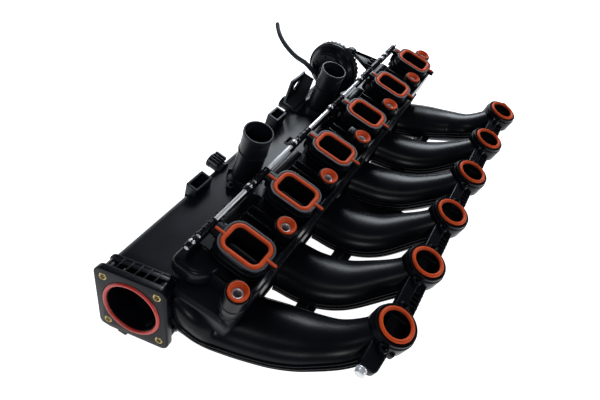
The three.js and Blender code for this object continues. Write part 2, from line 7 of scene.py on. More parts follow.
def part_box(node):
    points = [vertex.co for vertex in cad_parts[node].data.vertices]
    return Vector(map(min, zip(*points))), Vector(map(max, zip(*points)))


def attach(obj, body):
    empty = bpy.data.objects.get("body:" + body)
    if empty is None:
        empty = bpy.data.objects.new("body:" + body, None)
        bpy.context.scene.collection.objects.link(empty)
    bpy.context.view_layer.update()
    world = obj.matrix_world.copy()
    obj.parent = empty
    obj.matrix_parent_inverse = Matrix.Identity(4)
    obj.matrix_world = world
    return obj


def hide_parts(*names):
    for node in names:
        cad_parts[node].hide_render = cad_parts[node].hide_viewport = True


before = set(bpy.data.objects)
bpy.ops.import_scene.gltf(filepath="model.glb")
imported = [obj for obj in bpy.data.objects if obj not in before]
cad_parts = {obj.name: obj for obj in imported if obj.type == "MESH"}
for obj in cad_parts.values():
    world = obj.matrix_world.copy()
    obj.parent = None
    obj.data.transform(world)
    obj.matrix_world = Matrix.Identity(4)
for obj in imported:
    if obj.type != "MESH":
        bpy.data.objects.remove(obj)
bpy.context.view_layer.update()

MM = 0.001


def span(node):
    """Lowest and highest corner of a CAD node in millimetres."""
    low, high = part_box(node)
    return [v / MM for v in low], [v / MM for v in high]


def middle(node):
    low, high = span(node)
    return [(a + b) / 2 for a, b in zip(low, high)]


# ------------------------------------------------------------------ driving dimensions
PORTS = 6
PORT_X = [middle(f"swirl_seal_{k + 1}")[0] for k in range(PORTS)]
PITCH = (PORT_X[-1] - PORT_X[0]) / (PORTS - 1)
FIRST = PORT_X[0]
LAST = PORT_X[-1]
ROUND = [middle(f"port_o_ring_{k + 1}") for k in range(PORTS)]
ROUND_DX = ROUND[0][0] - FIRST
ROUND_Y = ROUND[0][1]
BOLTS = [middle(f"bolt_grommet_{k + 1}") for k in range(PORTS + 1)]
DECK = -21.0
DECK_FLOOR = DECK - 3
BAR_LOW = span("swirl_port_bar")[0][2]
SHELL_LOW, _ = span("plenum_upper_shell")
SPLIT = SHELL_LOW[2]
FLOOR_Z = span("plenum_lower_shell")[0][2]
RAIL_LOW = span("round_port_rail")[0][2]


# ------------------------------------------------------------------ shells: (vertices, faces) in millimetres
def disc(radius, x=0, y=0, n=48):
    def loop(d):
        r = max(radius + d, 0.01)
        return [(x + r * math.cos(2 * math.pi * i / n),
            y + r * math.sin(2 * math.pi * i / n)) for i in range(n)]
    return loop


def rounded(width, length, corner, x=0, y=0, n=8):
    def loop(d):
        r = max(corner + d, 0.3)
        w = width / 2 + d - r
        h = length / 2 + d - r
        points = []
        for q, (sx, sy) in enumerate(((1, 1), (-1, 1), (-1, -1), (1, -1))):
            for i in range(n + 1):
                a = math.pi / 2 * (q + i / n)
                points.append((x + sx * w + r * math.cos(a), y + sy * h + r * math.sin(a)))
        return points
    return loop


def fillet(points, radius, steps=3, closed=True):
    """A polygon with its corners rounded."""
    out = []
    n = len(points)
    for i, p in enumerate(points):
        if not closed and i in (0, n - 1):
            out.append(tuple(p))
            continue
        a = Vector(points[i - 1])
        b = Vector(p)
        c = Vector(points[(i + 1) % n])
        reach = min(radius, (a - b).length * 0.48, (c - b).length * 0.48)
        start = b + (a - b).normalized() * reach
        end = b + (c - b).normalized() * reach
        for j in range(steps + 1):
            t = j / steps
            out.append(tuple(start * (1 - t) ** 2 + b * 2 * t * (1 - t) + end * t * t))
    return out


def poly(points, corner=1.0, steps=3):
    base = [Vector(p) for p in fillet(points, corner, steps)]
    n = len(base)
    area = sum(base[i].x * base[(i + 1) % n].y - base[(i + 1) % n].x * base[i].y for i in range(n))
    turn = 1 if area > 0 else -1
    normals = []
    for i in range(n):
        along = base[(i + 1) % n] - base[i - 1]
        normals.append(Vector((along.y, -along.x)).normalized() * turn)

    def loop(d):
        return [tuple(p + m * d) for p, m in zip(base, normals)]
    return loop


def ring(outline, profile, closed=True, first_cap=False, last_cap=False):
    """Skins an outline carried along a profile of (outward offset, height)."""
    verts = []
    for d, z in profile:
        verts += [(x, y, z) for x, y in outline(d)]
    n = len(verts) // len(profile)
    m = len(profile)
    faces = []
    for i in range(m if closed else m - 1):
        a = i * n
        b = (i + 1) % m * n
        faces += [(a + j, a + (j + 1) % n, b + (j + 1) % n, b + j) for j in range(n)]
    if first_cap:
        faces.append(tuple(range(n - 1, -1, -1)))
    if last_cap:
        faces.append(tuple(range((m - 1) * n, m * n)))
    return verts, faces


def edge_profile(z0, z1, e):
    low = [(-e * (1 - math.sin(a)), z0 + e * (1 - math.cos(a))) for a in (0, 0.52, 1.05, 1.57)]
    high = [(d, z0 + z1 - z) for d, z in reversed(low)]
    return low + high


def slab(outline, z0, z1, e=0.8):
    """A plate with rounded edges."""
    e = min(e, (z1 - z0) * 0.45)
    return ring(outline, edge_profile(z0, z1, e), closed=False, first_cap=True, last_cap=True)


def collar(outline, wall, z0, z1, e=0.8):
    """A rounded wall standing on an outline, wall thick inwards."""
    section = fillet([(0, z0), (0, z1), (-wall, z1), (-wall, z0)], e)
    return ring(outline, section)


def block(x0, x1, y0, y1, z0, z1, e=0.8, corner=1.2):
    corners = [(x0, y0), (x1, y0), (x1, y1), (x0, y1)]
    return slab(poly(corners, corner), z0, z1, e)


def cyl(x, y, z0, z1, radius, e=0.6, n=40):
    return slab(disc(radius, x, y, n), z0, z1, e)


def mapped(shell, rule):
    verts, faces = shell
    return [tuple(rule(Vector(v))) for v in verts], faces


def along_x(shell):
    return mapped(shell, lambda v: (v.z, v.x, v.y))


def along_y(shell):
    return mapped(shell, lambda v: (v.x, v.z, v.y))


def placed(shell, matrix):
    return mapped(shell, lambda v: matrix @ v)


def moved(shell, x=0, y=0, z=0):
    return mapped(shell, lambda v: v + Vector((x, y, z)))


def sweep(loops, closed=False, caps=True):
    n = len(loops[0])
    verts = [tuple(p) for loop in loops for p in loop]
    faces = []
    m = len(loops)
    for i in range(m if closed else m - 1):
        a = i * n
        b = (i + 1) % m * n
        faces += [(a + j, a + (j + 1) % n, b + (j + 1) % n, b + j) for j in range(n)]
    if caps and not closed:
        faces.append(tuple(range(n - 1, -1, -1)))
        faces.append(tuple(range((m - 1) * n, m * n)))
    return verts, faces


def spline(points, steps):
    """Evenly spaced points on a smooth curve through the given ones."""
    points = [Vector(p) for p in points]
    ends = [points[0] * 2 - points[1]] + points + [points[-1] * 2 - points[-2]]
    fine = []
    for i in range(1, len(ends) - 2):
        a, b, c, d = ends[i - 1:i + 3]
        for j in range(16):
            t = j / 16
            fine.append(0.5 * (2 * b + (c - a) * t + (2 * a - 5 * b + 4 * c - d) * t * t + (3 * b - a - 3 * c + d) * t ** 3))
    fine.append(points[-1])
    lengths = [0.0]
    for a, b in zip(fine, fine[1:]):
        lengths.append(lengths[-1] + (b - a).length)
    out = []
    i = 0
    for j in range(steps + 1):
        want = lengths[-1] * j / steps
        while i < len(fine) - 2 and lengths[i + 1] < want:
            i += 1
        t = (want - lengths[i]) / max(lengths[i + 1] - lengths[i], 1e-9)
        out.append(fine[i].lerp(fine[i + 1], t))
    return out


def frames(path, across):
    """(point, side, rise, along) at each point of a path."""
    out = []
    for i, p in enumerate(path):
        along = (path[min(i + 1, len(path) - 1)] - path[max(i - 1, 0)]).normalized()
        side = (across - along * across.dot(along)).normalized()
        out.append((p, side, along.cross(side), along))
    return out


def smooth_step(t, a, b):
    t = min(max((t - a) / (b - a), 0), 1)
    return t * t * (3 - 2 * t)


def mix(a, b, t):
    return a + (b - a) * t


# ------------------------------------------------------------------ materials
def surface(name, colour, roughness, metallic=0.0, grain=900.0, depth=0.02, tint=0.25, shine=0.5,
    streak=1.0):
    """Base colour with cloudy variation, uneven roughness and a fine grain in the normal."""
    material = bpy.data.materials.new(name)
    material.use_nodes = True
    nodes = material.node_tree.nodes
    link = material.node_tree.links.new
    shader = nodes["Principled BSDF"]
    shader.inputs["Metallic"].default_value = metallic
    shader.inputs["Specular IOR Level"].default_value = shine
    where = nodes.new("ShaderNodeTexCoord")
    stretch = nodes.new("ShaderNodeMapping")
    stretch.inputs["Scale"].default_value = (1.0, streak, streak)
    link(where.outputs["Object"], stretch.inputs["Vector"])
    cloud = nodes.new("ShaderNodeTexNoise")
    cloud.inputs["Scale"].default_value = 28.0
    cloud.inputs["Detail"].default_value = 5.0
    link(stretch.outputs["Vector"], cloud.inputs["Vector"])
    shades = nodes.new("ShaderNodeValToRGB")
    shades.color_ramp.elements[0].position = 0.3
    shades.color_ramp.elements[1].position = 0.7
    shades.color_ramp.elements[0].color = [c * (1 - tint) for c in colour] + [1]
    shades.color_ramp.elements[1].color = [min(c * (1 + tint), 1) for c in colour] + [1]
    link(cloud.outputs["Fac"], shades.inputs["Fac"])
    link(shades.outputs["Color"], shader.inputs["Base Color"])
    spread = nodes.new("ShaderNodeMapRange")
    spread.inputs["To Min"].default_value = roughness * 0.85
    spread.inputs["To Max"].default_value = roughness * 1.15
    link(cloud.outputs["Fac"], spread.inputs["Value"])
    link(spread.outputs["Result"], shader.inputs["Roughness"])
    speck = nodes.new("ShaderNodeTexNoise")
    speck.inputs["Scale"].default_value = grain
    speck.inputs["Detail"].default_value = 3.0
    link(stretch.outputs["Vector"], speck.inputs["Vector"])
    bump = nodes.new("ShaderNodeBump")
    bump.inputs["Strength"].default_value = 0.35
    bump.inputs["Distance"].default_value = depth * MM
    link(speck.outputs["Fac"], bump.inputs["Height"])
    link(bump.outputs["Normal"], shader.inputs["Normal"])
    return material


NYLON = surface("moulded nylon", (0.0034, 0.0041, 0.0062), 0.27, grain=700, depth=0.05, shine=0.11)
SHELL = surface("plenum nylon", (0.0052, 0.0064, 0.0100), 0.38, grain=600, depth=0.07, shine=0.18)
# The port lands get a paler blue-grey than the rest of the nylon: painted sheen standing in for the glint
# along the port collars.
LAND_SHEEN = surface("land with painted sheen", (0.024, 0.028, 0.037), 0.5, grain=800, depth=0.05)
GREY = surface("flap plastic", (0.050, 0.058, 0.072), 0.5, grain=800, depth=0.05)
SEAL = surface("orange rubber", (0.56, 0.066, 0.013), 0.50, grain=900, depth=0.04, tint=0.12, shine=0.15)
RED = surface("red rubber", (0.50, 0.028, 0.020), 0.38, grain=900, depth=0.04, tint=0.12)
ZINC = surface("zinc plate", (0.70, 0.72, 0.75), 0.42, metallic=0.65, grain=1200, depth=0.03, tint=0.12,
    streak=0.3)
BRASS = surface("olive brass", (0.46, 0.37, 0.17), 0.33, metallic=1.0, grain=1000, depth=0.03, tint=0.15)
SHEET = surface("coated sheet", (0.012, 0.014, 0.018), 0.36, grain=800, depth=0.04, shine=0.3)
HOSE = surface("hose rubber", (0.008, 0.010, 0.015), 0.62, grain=500, depth=0.08, shine=0.1)


# ------------------------------------------------------------------ pieces
def piece(name, shells, material, nodes=(), body="manifold_body", sharp=38):
    verts = []
    faces = []
    for shell_verts, shell_faces in shells:
        base = len(verts)
        verts += [(x * MM, y * MM, z * MM) for x, y, z in shell_verts]
        faces += [tuple(i + base for i in face) for face in shell_faces]
    mesh = bpy.data.meshes.new(name)
    mesh.from_pydata(verts, [], faces)
    work = bmesh.new()
    work.from_mesh(mesh)
    bmesh.ops.recalc_face_normals(work, faces=work.faces)
    work.to_mesh(mesh)
    work.free()
    mesh.materials.append(material)
    obj = bpy.data.objects.new(name, mesh)
    bpy.context.scene.collection.objects.link(obj)
    soften(obj, sharp)
    if nodes:
        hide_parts(*nodes)
    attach(obj, body)
    return obj


def soften(obj, sharp):
    obj.data.polygons.foreach_set("use_smooth", [True] * len(obj.data.polygons))
    obj.data.set_sharp_from_angle(angle=math.radians(sharp))


def carved(shell, cutters):
    """A closed shell with other closed shells cut from it."""
    made = []
    for verts, faces in [shell] + list(cutters):
        mesh = bpy.data.meshes.new("work")
        mesh.from_pydata([tuple(c * MM for c in v) for v in verts], [], faces)
        work = bmesh.new()
        work.from_mesh(mesh)
        bmesh.ops.recalc_face_normals(work, faces=work.faces)
        work.to_mesh(mesh)
        work.free()
        obj = bpy.data.objects.new("work", mesh)
        bpy.context.scene.collection.objects.link(obj)
        made.append(obj)
    for cutter in made[1:]:
        modifier = made[0].modifiers.new("cut", "BOOLEAN")
        modifier.operation = "DIFFERENCE"
        modifier.solver = "EXACT"
        modifier.object = cutter
    result = bpy.data.meshes.new_from_object(made[0].evaluated_get(bpy.context.evaluated_depsgraph_get()))
    verts = [tuple(c / MM for c in v.co) for v in result.vertices]
    faces = [tuple(p.vertices) for p in result.polygons]
    for obj in made:
        bpy.data.objects.remove(obj)
    return verts, faces


def parted(shell, height, above):
    """The part of a shell above or below a level, closed along the cut."""
    verts, faces = shell
    mesh = bpy.data.meshes.new("work")
    mesh.from_pydata(verts, [], faces)
    work = bmesh.new()
    work.from_mesh(mesh)
    everything = work.verts[:] + work.edges[:] + work.faces[:]
    bmesh.ops.bisect_plane(work, geom=everything, dist=1e-5, plane_co=(0, 0, height), plane_no=(0, 0, 1),
                           clear_outer=not above, clear_inner=above)
    rim = [e for e in work.edges if len(e.link_faces) == 1]
    bmesh.ops.triangle_fill(work, edges=rim, use_beauty=True)
    work.verts.index_update()
    result = [tuple(v.co) for v in work.verts], [tuple(v.index for v in f.verts) for f in work.faces]
    work.free()
    return result


# ------------------------------------------------------------------ runners
ROUTE = [(-34, -12, -88), (-28, -35, -86), (-19, -69, -80), (-8, -101, -70), (6, -129, -55), (23, -150, -41)]
BELLY_SHIFT = [2, -6, -8, -2, -4, 11]
ROUND_TOP = -10.8
ROUND_FLOOR = -33.0
SHOULDER = [(-36, 26, -79), (-38, 8, -81)]


def runner_stations(k, steps=80):
    """(share of the bend, frame) along a runner; the first one starts back beside the flange."""
    points = []
    for i, (x, y, z) in enumerate(ROUTE):
        shift = BELLY_SHIFT[k] if i in (2, 3) else 0
        points.append(Vector((PORT_X[k] + x + shift, y, z)))
    points.append(Vector((PORT_X[k] + ROUND_DX, ROUND_Y, ROUND_FLOOR + 3)))
    points.append(Vector((PORT_X[k] + ROUND_DX, ROUND_Y, ROUND_FLOOR + 9)))
    extra = 0.0
    if k == 0:
        lead = [Vector((FIRST + x, y, z)) for x, y, z in SHOULDER]
        extra = sum((b - a).length for a, b in zip(lead, lead[1:] + points[:1]))
        points = lead + points
    path = spline(points, steps)
    total = sum((b - a).length for a, b in zip(path, path[1:]))
    shares = [(total * i / steps - extra) / (total - extra) for i in range(steps + 1)]
    found = list(zip(shares, frames(path, Vector((1, 0, 0)))))
    return [(t, where) for t, where in found if k == 0 or where[0].y < -28]


def half_width(t):
    return mix(34, 21, smooth_step(t, 0.3, 0.95))


def half_height(t):
    return mix(24, 21, smooth_step(t, 0.3, 0.95)) + 8 * smooth_step(-t, 0, 0.25)


def runner_section(t, where, inset, n=64):
    p, side, rise, _ = where
    square = mix(0.93, 1.0, smooth_step(t, 0.3, 0.9)) - 0.43 * smooth_step(-t, -0.05, 0.15)
    w = half_width(t) - inset
    h = half_height(t) - inset
    points = []
    for j in range(n):
        a = 2 * math.pi * j / n
        c = math.cos(a)
        s = math.sin(a)
        u = math.copysign(abs(c) ** square, c) * w
        v = math.copysign(abs(s) ** square, s) * h
        points.append(p + side * u + rise * v)
    return points


def strip(stations, side_shift, rise_shift, size):
    """A rounded bar that follows a runner along one of its sides."""
    loops = []
    w, h = size
    corners = ((-1, -0.6), (-0.7, -1), (0.7, -1), (1, -0.6), (1, 0.6), (0.7, 1), (-0.7, 1), (-1, 0.6))
    for t, (p, side, rise, _) in stations:
        turn = math.copysign(1, side_shift)
        u = turn * half_width(t) + side_shift
        loops.append([p + side * (u + a * w) + rise * (rise_shift + b * h) for a, b in corners])
    return sweep(loops)


for k in range(PORTS):
    stations = runner_stations(k)
    outer = [runner_section(t, where, 0) for t, where in stations]
    inner = [runner_section(t, where, 3) for t, where in stations]
    shells = [sweep(outer + inner[::-1], closed=True)]
    flanged = [(t, where) for t, where in stations if t < 0.86]
    for turn in (-1, 1):
        shells.append(strip(flanged, turn * 0.4, 0.0, (1.9, 1.1)))
        for rise_shift in (-4.2, 4.2):
            shells.append(strip(flanged, turn * -0.4, rise_shift, (1.2, 0.6)))
    x = PORT_X[k]
    if k == 2:
        shells.append(block(x, x + 60, -124, -36, -86, -82))
    elif k < PORTS - 1:
        web_low = -90
        shells.append(block(x - 8, x + 66, -91, -70, web_low, web_low + 11, 1.5, 2))
        shells.append(block(x - 8, x + 66, -82, -79, web_low + 9, web_low + 15, 0.8, 1))
    piece(f"runner_shell_{k + 1}", shells, NYLON, [f"runner_{k + 1}"])


# ------------------------------------------------------------------ rail of round ports
rail_shells = []
rail_top = -19.0
rail_front = FIRST + ROUND_DX - 24
rail_rear = LAST + ROUND_DX + 24
rail_shells.append(block(rail_front, rail_rear, ROUND_Y - 4, ROUND_Y + 9, RAIL_LOW, rail_top, 1.2, 3))
rail_shells.append(block(rail_front, rail_rear, ROUND_Y - 15, ROUND_Y - 2, RAIL_LOW, rail_top - 5, 1.2, 3))
for k in range(PORTS):
    x = ROUND[k][0]
    section = fillet([
        (24, ROUND_FLOOR), (24, ROUND_TOP - 5), (22.6, ROUND_TOP - 4), (22.6, ROUND_TOP), (19.6, ROUND_TOP),
        (19.6, ROUND_TOP - 1.9), (15.2, ROUND_TOP - 1.9), (15.2, ROUND_FLOOR),
    ], 0.8)
    rail_shells.append(ring(disc(0, x, ROUND_Y, 72), section))
    for turn in (-1, 1):
        eye = x + turn * 27
        rail_shells.append(collar(disc(5.15, eye, ROUND_Y, 32), 2.7, RAIL_LOW, rail_top + 5, 0.6))
        rail_shells.append(collar(disc(3.9, eye, ROUND_Y, 24), 1.0, rail_top - 2, rail_top + 5.4, 0.3))
        rail_shells.append(cyl(eye, ROUND_Y, RAIL_LOW, rail_top - 1, 3.2))
    for turn in (-12, 12):
        rail_shells.append(block(x + turn - 0.9, x + turn + 0.9, ROUND_Y - 15.6, ROUND_Y + 12, RAIL_LOW,
            rail_top + 2, 0.5, 0.5))
for k in range(PORTS - 1):
    x = ROUND[k][0] + PITCH / 2
    for step in (-9, -3, 3, 9):
        rail_shells.append(block(x + step - 0.8, x + step + 0.8, ROUND_Y - 14, ROUND_Y - 1, RAIL_LOW,
            rail_top - 1, 0.4, 0.4))
bolt_low, bolt_high = span("front_bolt")
bolt_y = (bolt_low[1] + bolt_high[1]) / 2
bolt_z = (bolt_low[2] + bolt_high[2]) / 2
lug_front = FIRST - 17
lug_corners = [(lug_front, ROUND_Y - 6), (rail_front + 8, ROUND_Y - 9), (rail_front + 8, ROUND_Y + 12),
    (lug_front, ROUND_Y + 13)]
rail_shells.append(slab(poly(lug_corners, 7, 6), RAIL_LOW, rail_top - 2, 1.8))
piece("port_rail", rail_shells, NYLON, ["round_port_rail"])

head = slab(poly([(5.6 * math.cos(math.pi / 3 * i), 5.6 * math.sin(math.pi / 3 * i)) for i in range(6)],
    0.6, 2), 0, 5.4, 1.2)
washer = collar(disc(5.6, 0, 0, 40), 3.0, 5.2, 7.0, 0.3)
shank = cyl(0, 0, 5, 20, 2.9, 0.4, 24)
dome = ring(disc(0, 0, 0, 32), [(0.1, -0.0), (2.4, 0.1), (3.6, 0.5), (3.6, 0.9)], closed=False,
    first_cap=True)
bolt_shells = [moved(along_x(s), bolt_low[0], bolt_y, bolt_z) for s in (head, washer, shank, dome)]
piece("rail_bolt", bolt_shells, ZINC, ["front_bolt"])

for k in range(PORTS):
    x, y, z = ROUND[k]
    points = []
    for i in range(16):
        a = 2 * math.pi * i / 16
        flash = 0.12 if i in (0, 8) else 0
        points.append((17 + (2.15 + flash) * math.cos(a), z + 2.15 * math.sin(a)))
    piece(f"round_seal_{k + 1}", [ring(disc(0, x, y, 80), points)], SEAL,
        [f"port_o_ring_{k + 1}"])


# ------------------------------------------------------------------ bar of swirl ports
SEAL_W = 37.0
SEAL_L = 49.0
DUCT_W = 26.0
DUCT_L = 38.0
bar_front = FIRST - 34
bar_rear = LAST + 22
BAR_RIGHT = -31.0
BAR_LEFT = 29.0
bar_shells = []
edges = [bar_front] + [x + side * (DUCT_W / 2 + 2) for x in PORT_X for side in (-1, 1)] + [bar_rear]
for a, b in zip(edges[::2], edges[1::2]):
    bar_shells.append(block(a, b, BAR_RIGHT, BAR_LEFT, DECK_FLOOR, DECK, 0.6, 0.8))
for side_low, side_high in ((BAR_RIGHT, -DUCT_L / 2 - 2), (DUCT_L / 2 + 2, BAR_LEFT)):
    bar_shells.append(block(bar_front, bar_rear, side_low, side_high, DECK_FLOOR, DECK - 0.2, 0.6, 0.8))
bar_shells.append(block(bar_front, bar_rear, BAR_RIGHT, BAR_RIGHT + 3, BAR_LOW, DECK + 12, 0.9, 1.2))
bar_shells.append(block(bar_front, bar_rear, BAR_LEFT - 3, BAR_LEFT, BAR_LOW, DECK, 0.9, 1.2))
bar_shells.append(block(bar_front, bar_front + 3, BAR_RIGHT, BAR_LEFT, BAR_LOW, DECK, 0.9, 1.2))
bar_shells.append(block(bar_rear - 3, bar_rear, BAR_RIGHT, BAR_LEFT, BAR_LOW, DECK, 0.9, 1.2))
bar_shells.append(block(-6, 6, -8, 3, DECK_FLOOR, 0, 0.8, 1.4))
pad = [(FIRST - 49, 22), (FIRST - 36, 8), (FIRST - 15, 8), (FIRST - 15, 50), (FIRST - 49, 50)]
bar_shells.append(slab(poly(pad, 9, 6), BAR_LOW + 4, DECK + 3, 6))
bar_shells.append(block(bar_rear - 4, BOLTS[-1][0], BOLTS[-1][1] - 8, BOLTS[-1][1] + 8, -30, -7, 1.5, 2))
for k, x in enumerate(PORT_X):
    duct = rounded(DUCT_W, DUCT_L, 6.5, x)
    wide = rounded(SEAL_W, SEAL_L, 12, x)
    bar_shells.append(ring(wide, fillet([
        (3.0, DECK - 1), (3.0, -2.6), (2.6, -0.2), (0.4, -0.2), (0.4, -2.2), (-2.5, -2.2), (-2.5, DECK - 1),
    ], 0.6)))
    inner_wall = fillet([(3.0, BAR_LOW), (3.0, -2.3), (0.0, -2.3), (0.0, BAR_LOW)], 0.5)
    bar_shells.append(ring(duct, inner_wall))
    for low, swell in ((-8.5, 4.4), (-15.5, 5.4)):
        bar_shells.append(ring(wide, fillet([(2.4, low), (2.4, low + 1.8), (swell, low + 1.3), (swell,
            low + 0.4)], 0.3)))
    bar_shells.append(block(x - 11, x + 3, SEAL_L / 2 - 2, 36.4, -5, -0.2, 0.9, 2))
    bar_shells.append(block(x - 3.6, x + 3.6, -36.4, -SEAL_L / 2 + 2, -5.5, -0.2, 0.9, 2))
    bar_shells.append(block(x - 3, x - 1.4, SEAL_L / 2 + 1, BAR_LEFT + 6, DECK, -4, 0.4, 0.4))
    bar_shells.append(block(x + 8, x + 9.6, SEAL_L / 2 - 2, BAR_LEFT - 1, DECK, -9, 0.4, 0.4))
    for turn in (-1, 1):
        bar_shells.append(block(x + turn * 21.5 - 0.8, x + turn * 21.5 + 0.8, -12, -10.4, DECK, -7, 0.4,
            0.4))
for i, (x, y, _) in enumerate(BOLTS):
    tower = fillet([(13.2, DECK - 9), (13.2, DECK + 1), (12.4, DECK + 2), (12.2, -1.2), (11.4, -0.1),
        (10.6, -0.1),
                    (10.6, -5.2), (6.2, -5.2), (6.2, DECK - 9)], 0.7)
    bar_shells.append(ring(disc(0, x, y, 56), tower))
    bar_shells.append(collar(disc(13.4, x, y, 56), 2, -30, DECK - 6, 0.8))
    for turn in (-1, 1):
        if 0 < i < PORTS:
            near, far = sorted((x + turn * 11, x + turn * 24))
            bar_shells.append(block(near, far, y - 0.8, y + 0.8, DECK, -8, 0.4, 0.4))
            bar_shells.append(block(x + turn * 6 - 0.7, x + turn * 6 + 0.7, y + 9, BAR_LEFT - 2, DECK - 1,
                -14, 0.4, 0.4))
            bar_shells.append(block(x + turn * 17, x + turn * 17 + 1.4, BAR_RIGHT + 1, y, DECK - 1, -13,
                0.4, 0.4))
for x in PORT_X[:-1]:
    bar_shells.append(block(x + 13, x + PITCH - 13, BAR_LEFT - 2, BAR_LEFT + 14, BAR_LOW, DECK - 4, 4, 6))
x, y, _ = BOLTS[0]
foot_low = BAR_LOW + 0.2
pillar = [(6.2, foot_low), (11.4, foot_low), (9.4, foot_low + 3.5), (12.2, DECK - 4), (12.2, DECK), (6.2,
    DECK)]
bar_shells.append(ring(disc(0, x, y, 56), fillet(pillar, 2.0, 4)))
piece("swirl_bar", bar_shells, NYLON, ["swirl_port_bar"])

# Lands round the port openings, in the paler colour that paints their sheen on.
land = ring(rounded(SEAL_W, SEAL_L, 12), fillet([(2.7, -0.7), (2.6, -0.02), (0.45, -0.02), (0.45, -0.7)],
    0.2))
piece("port_lands", [moved(land, x) for x in PORT_X], LAND_SHEEN)

for k, x in enumerate(PORT_X):
    low, high = -1.9, 1.0
    band = []
    for i in range(20):
        a = 2 * math.pi * i / 20
        crown = 0.25 * math.cos(2 * a) if math.sin(a) > 0 else 0
        band.append((-2.5 + 2.5 * math.cos(a), mix(low, high, 0.5 + 0.5 * math.sin(a)) - crown * 0.3))
    shells = [ring(rounded(SEAL_W, SEAL_L, 12, x, 0, 10), band)]
    for offset, a, b in ((-4, SEAL_L / 2 - 2.5, 35.2), (0, -35.2, -SEAL_L / 2 + 2.5)):
        corners = [(x + offset - 1.7, a), (x + offset + 1.7, a), (x + offset + 1.7, b), (x + offset - 1.7,
            b)]
        shells.append(slab(poly(corners, 1.6, 4), low, high - 0.1, 1.2))
    piece(f"port_seal_{k + 1}", shells, SEAL, [f"swirl_seal_{k + 1}"])

for i, (x, y, _) in enumerate(BOLTS):
    profile = fillet([(6.75, -5), (10.2, -5), (10.2, 0.4), (9.5, 1.5), (8.7, 1.4), (5.5, -2.6), (5.5,
        -3.6), (6.75, -4)], 0.35)
    grooves = [collar(disc(10.2, x, y, 56), 1.4, 0.2, 1.0, 0.3)]
    piece(f"bolt_seal_{i + 1}", [ring(disc(0, x, y, 56), profile)] + grooves, SEAL,
        [f"bolt_grommet_{i + 1}"])
    tube_profile = fillet([(3.9, -29), (6.0, -29), (6.0, -4.4), (5.3, -3.8), (4.5, -3.8), (3.9, -4.4)], 0.25)
    lips = [collar(disc(6.1, x, y, 40), 1.2, -7.4, -6.6, 0.2)]
    piece(f"bolt_tube_{i + 1}", [ring(disc(0, x, y, 48), tube_profile)] + lips, ZINC,
        [f"bolt_sleeve_{i + 1}"])


# ------------------------------------------------------------------ plenum
OUTER = [(-33, -46), (28, -46), (99, -62.4), (105, -67), (107, -75), (107, -107), (99, -121), (90, -125),
         (30, -123), (-22, -114), (-33, -106)]
PLENUM_FRONT = FIRST - 61
CHEEK = 10.0


def deck_plane(y):
    return -46 - (y - 28) * 15.5 / 67


def front_edge(y):
    return mix(PLENUM_FRONT, FIRST - 56, min(max((20 - y) / 54, 0), 1))


def rear_edge(y):
    return LAST + 3 - (y + 34) * 77 / 142


def plenum_loop(s, inset, cheek):
    """The plenum's outline at a share s of its length; cheek cuts the corner beside the first tower."""
    corners = [(-33, -46 - max(cheek, 1) * 0.9), (-33 + max(cheek, 1), -46)] + OUTER[1:]
    outline = poly(corners, 5, 4)(-inset)
    return [(mix(front_edge(y), rear_edge(y), s), y, z) for y, z in outline]


def plenum_solid(inset, end):
    length = rear_edge(30) - front_edge(30)
    loops = []
    rim = 5.0 if inset == 0 else 2.0
    turns = [math.pi / 2 * i / 4 for i in range(5)]
    for a in turns:
        loops.append(plenum_loop((end + rim * (1 - math.cos(a))) / length,
            inset + rim * (1 - math.sin(a)), CHEEK))
    for i in range(1, 30):
        s = i / 30
        loops.append(plenum_loop(s, inset, CHEEK * (1 - smooth_step(s * length, 16, 58))))
    for a in reversed(turns):
        loops.append(plenum_loop(1 - (end + rim * (1 - math.cos(a))) / length,
            inset + rim * (1 - math.sin(a)), 0))
    return sweep(loops)


normal = Vector((-0.96, -0.1, 0.24)).normalized()
up = Vector((0.21, 0.29, 0.93))
up = (up - normal * up.dot(normal)).normalized()
across = up.cross(normal)
THROTTLE = Matrix((
    (across.x, up.x, normal.x, FIRST - 87), (across.y, up.y, normal.y, 58), (across.z, up.z, normal.z,
    -81), (0, 0, 0, 1)))
SNOUTS = [(FIRST + 107.5, 24), (FIRST + 288, 18)]
SNOUT_Y = 69.0
snout_cuts = [cyl(x, SNOUT_Y, -75, 30, 13, 0.1) for x, _ in SNOUTS]
oval = rounded(17, 7, 3.4, FIRST + 201, 64, 5)
oval_cut = slab(oval, -75, -30, 0.1)
throttle_cut = placed(cyl(0, 0, -34, 2, 22.5, 0.1, 64), THROTTLE)
plenum_shell = carved(plenum_solid(0, 0), [plenum_solid(3, 3), throttle_cut, oval_cut] + snout_cuts)
upper_shells = [parted(plenum_shell, SPLIT, True)]
lower_shells = [parted(plenum_shell, SPLIT - 0.3, False)]


def seam(z0, z1, reach):
    """The weld flange that runs round the plenum where its two shells meet."""
    corners = [(front_edge(y), y) for y in (-33, 20, 107)] + [(rear_edge(y), y) for y in (107, -33)]
    return ring(poly(corners, 8, 5), fillet([(-2, z0), (-2, z1), (reach, z1), (reach, z0)], 0.5))


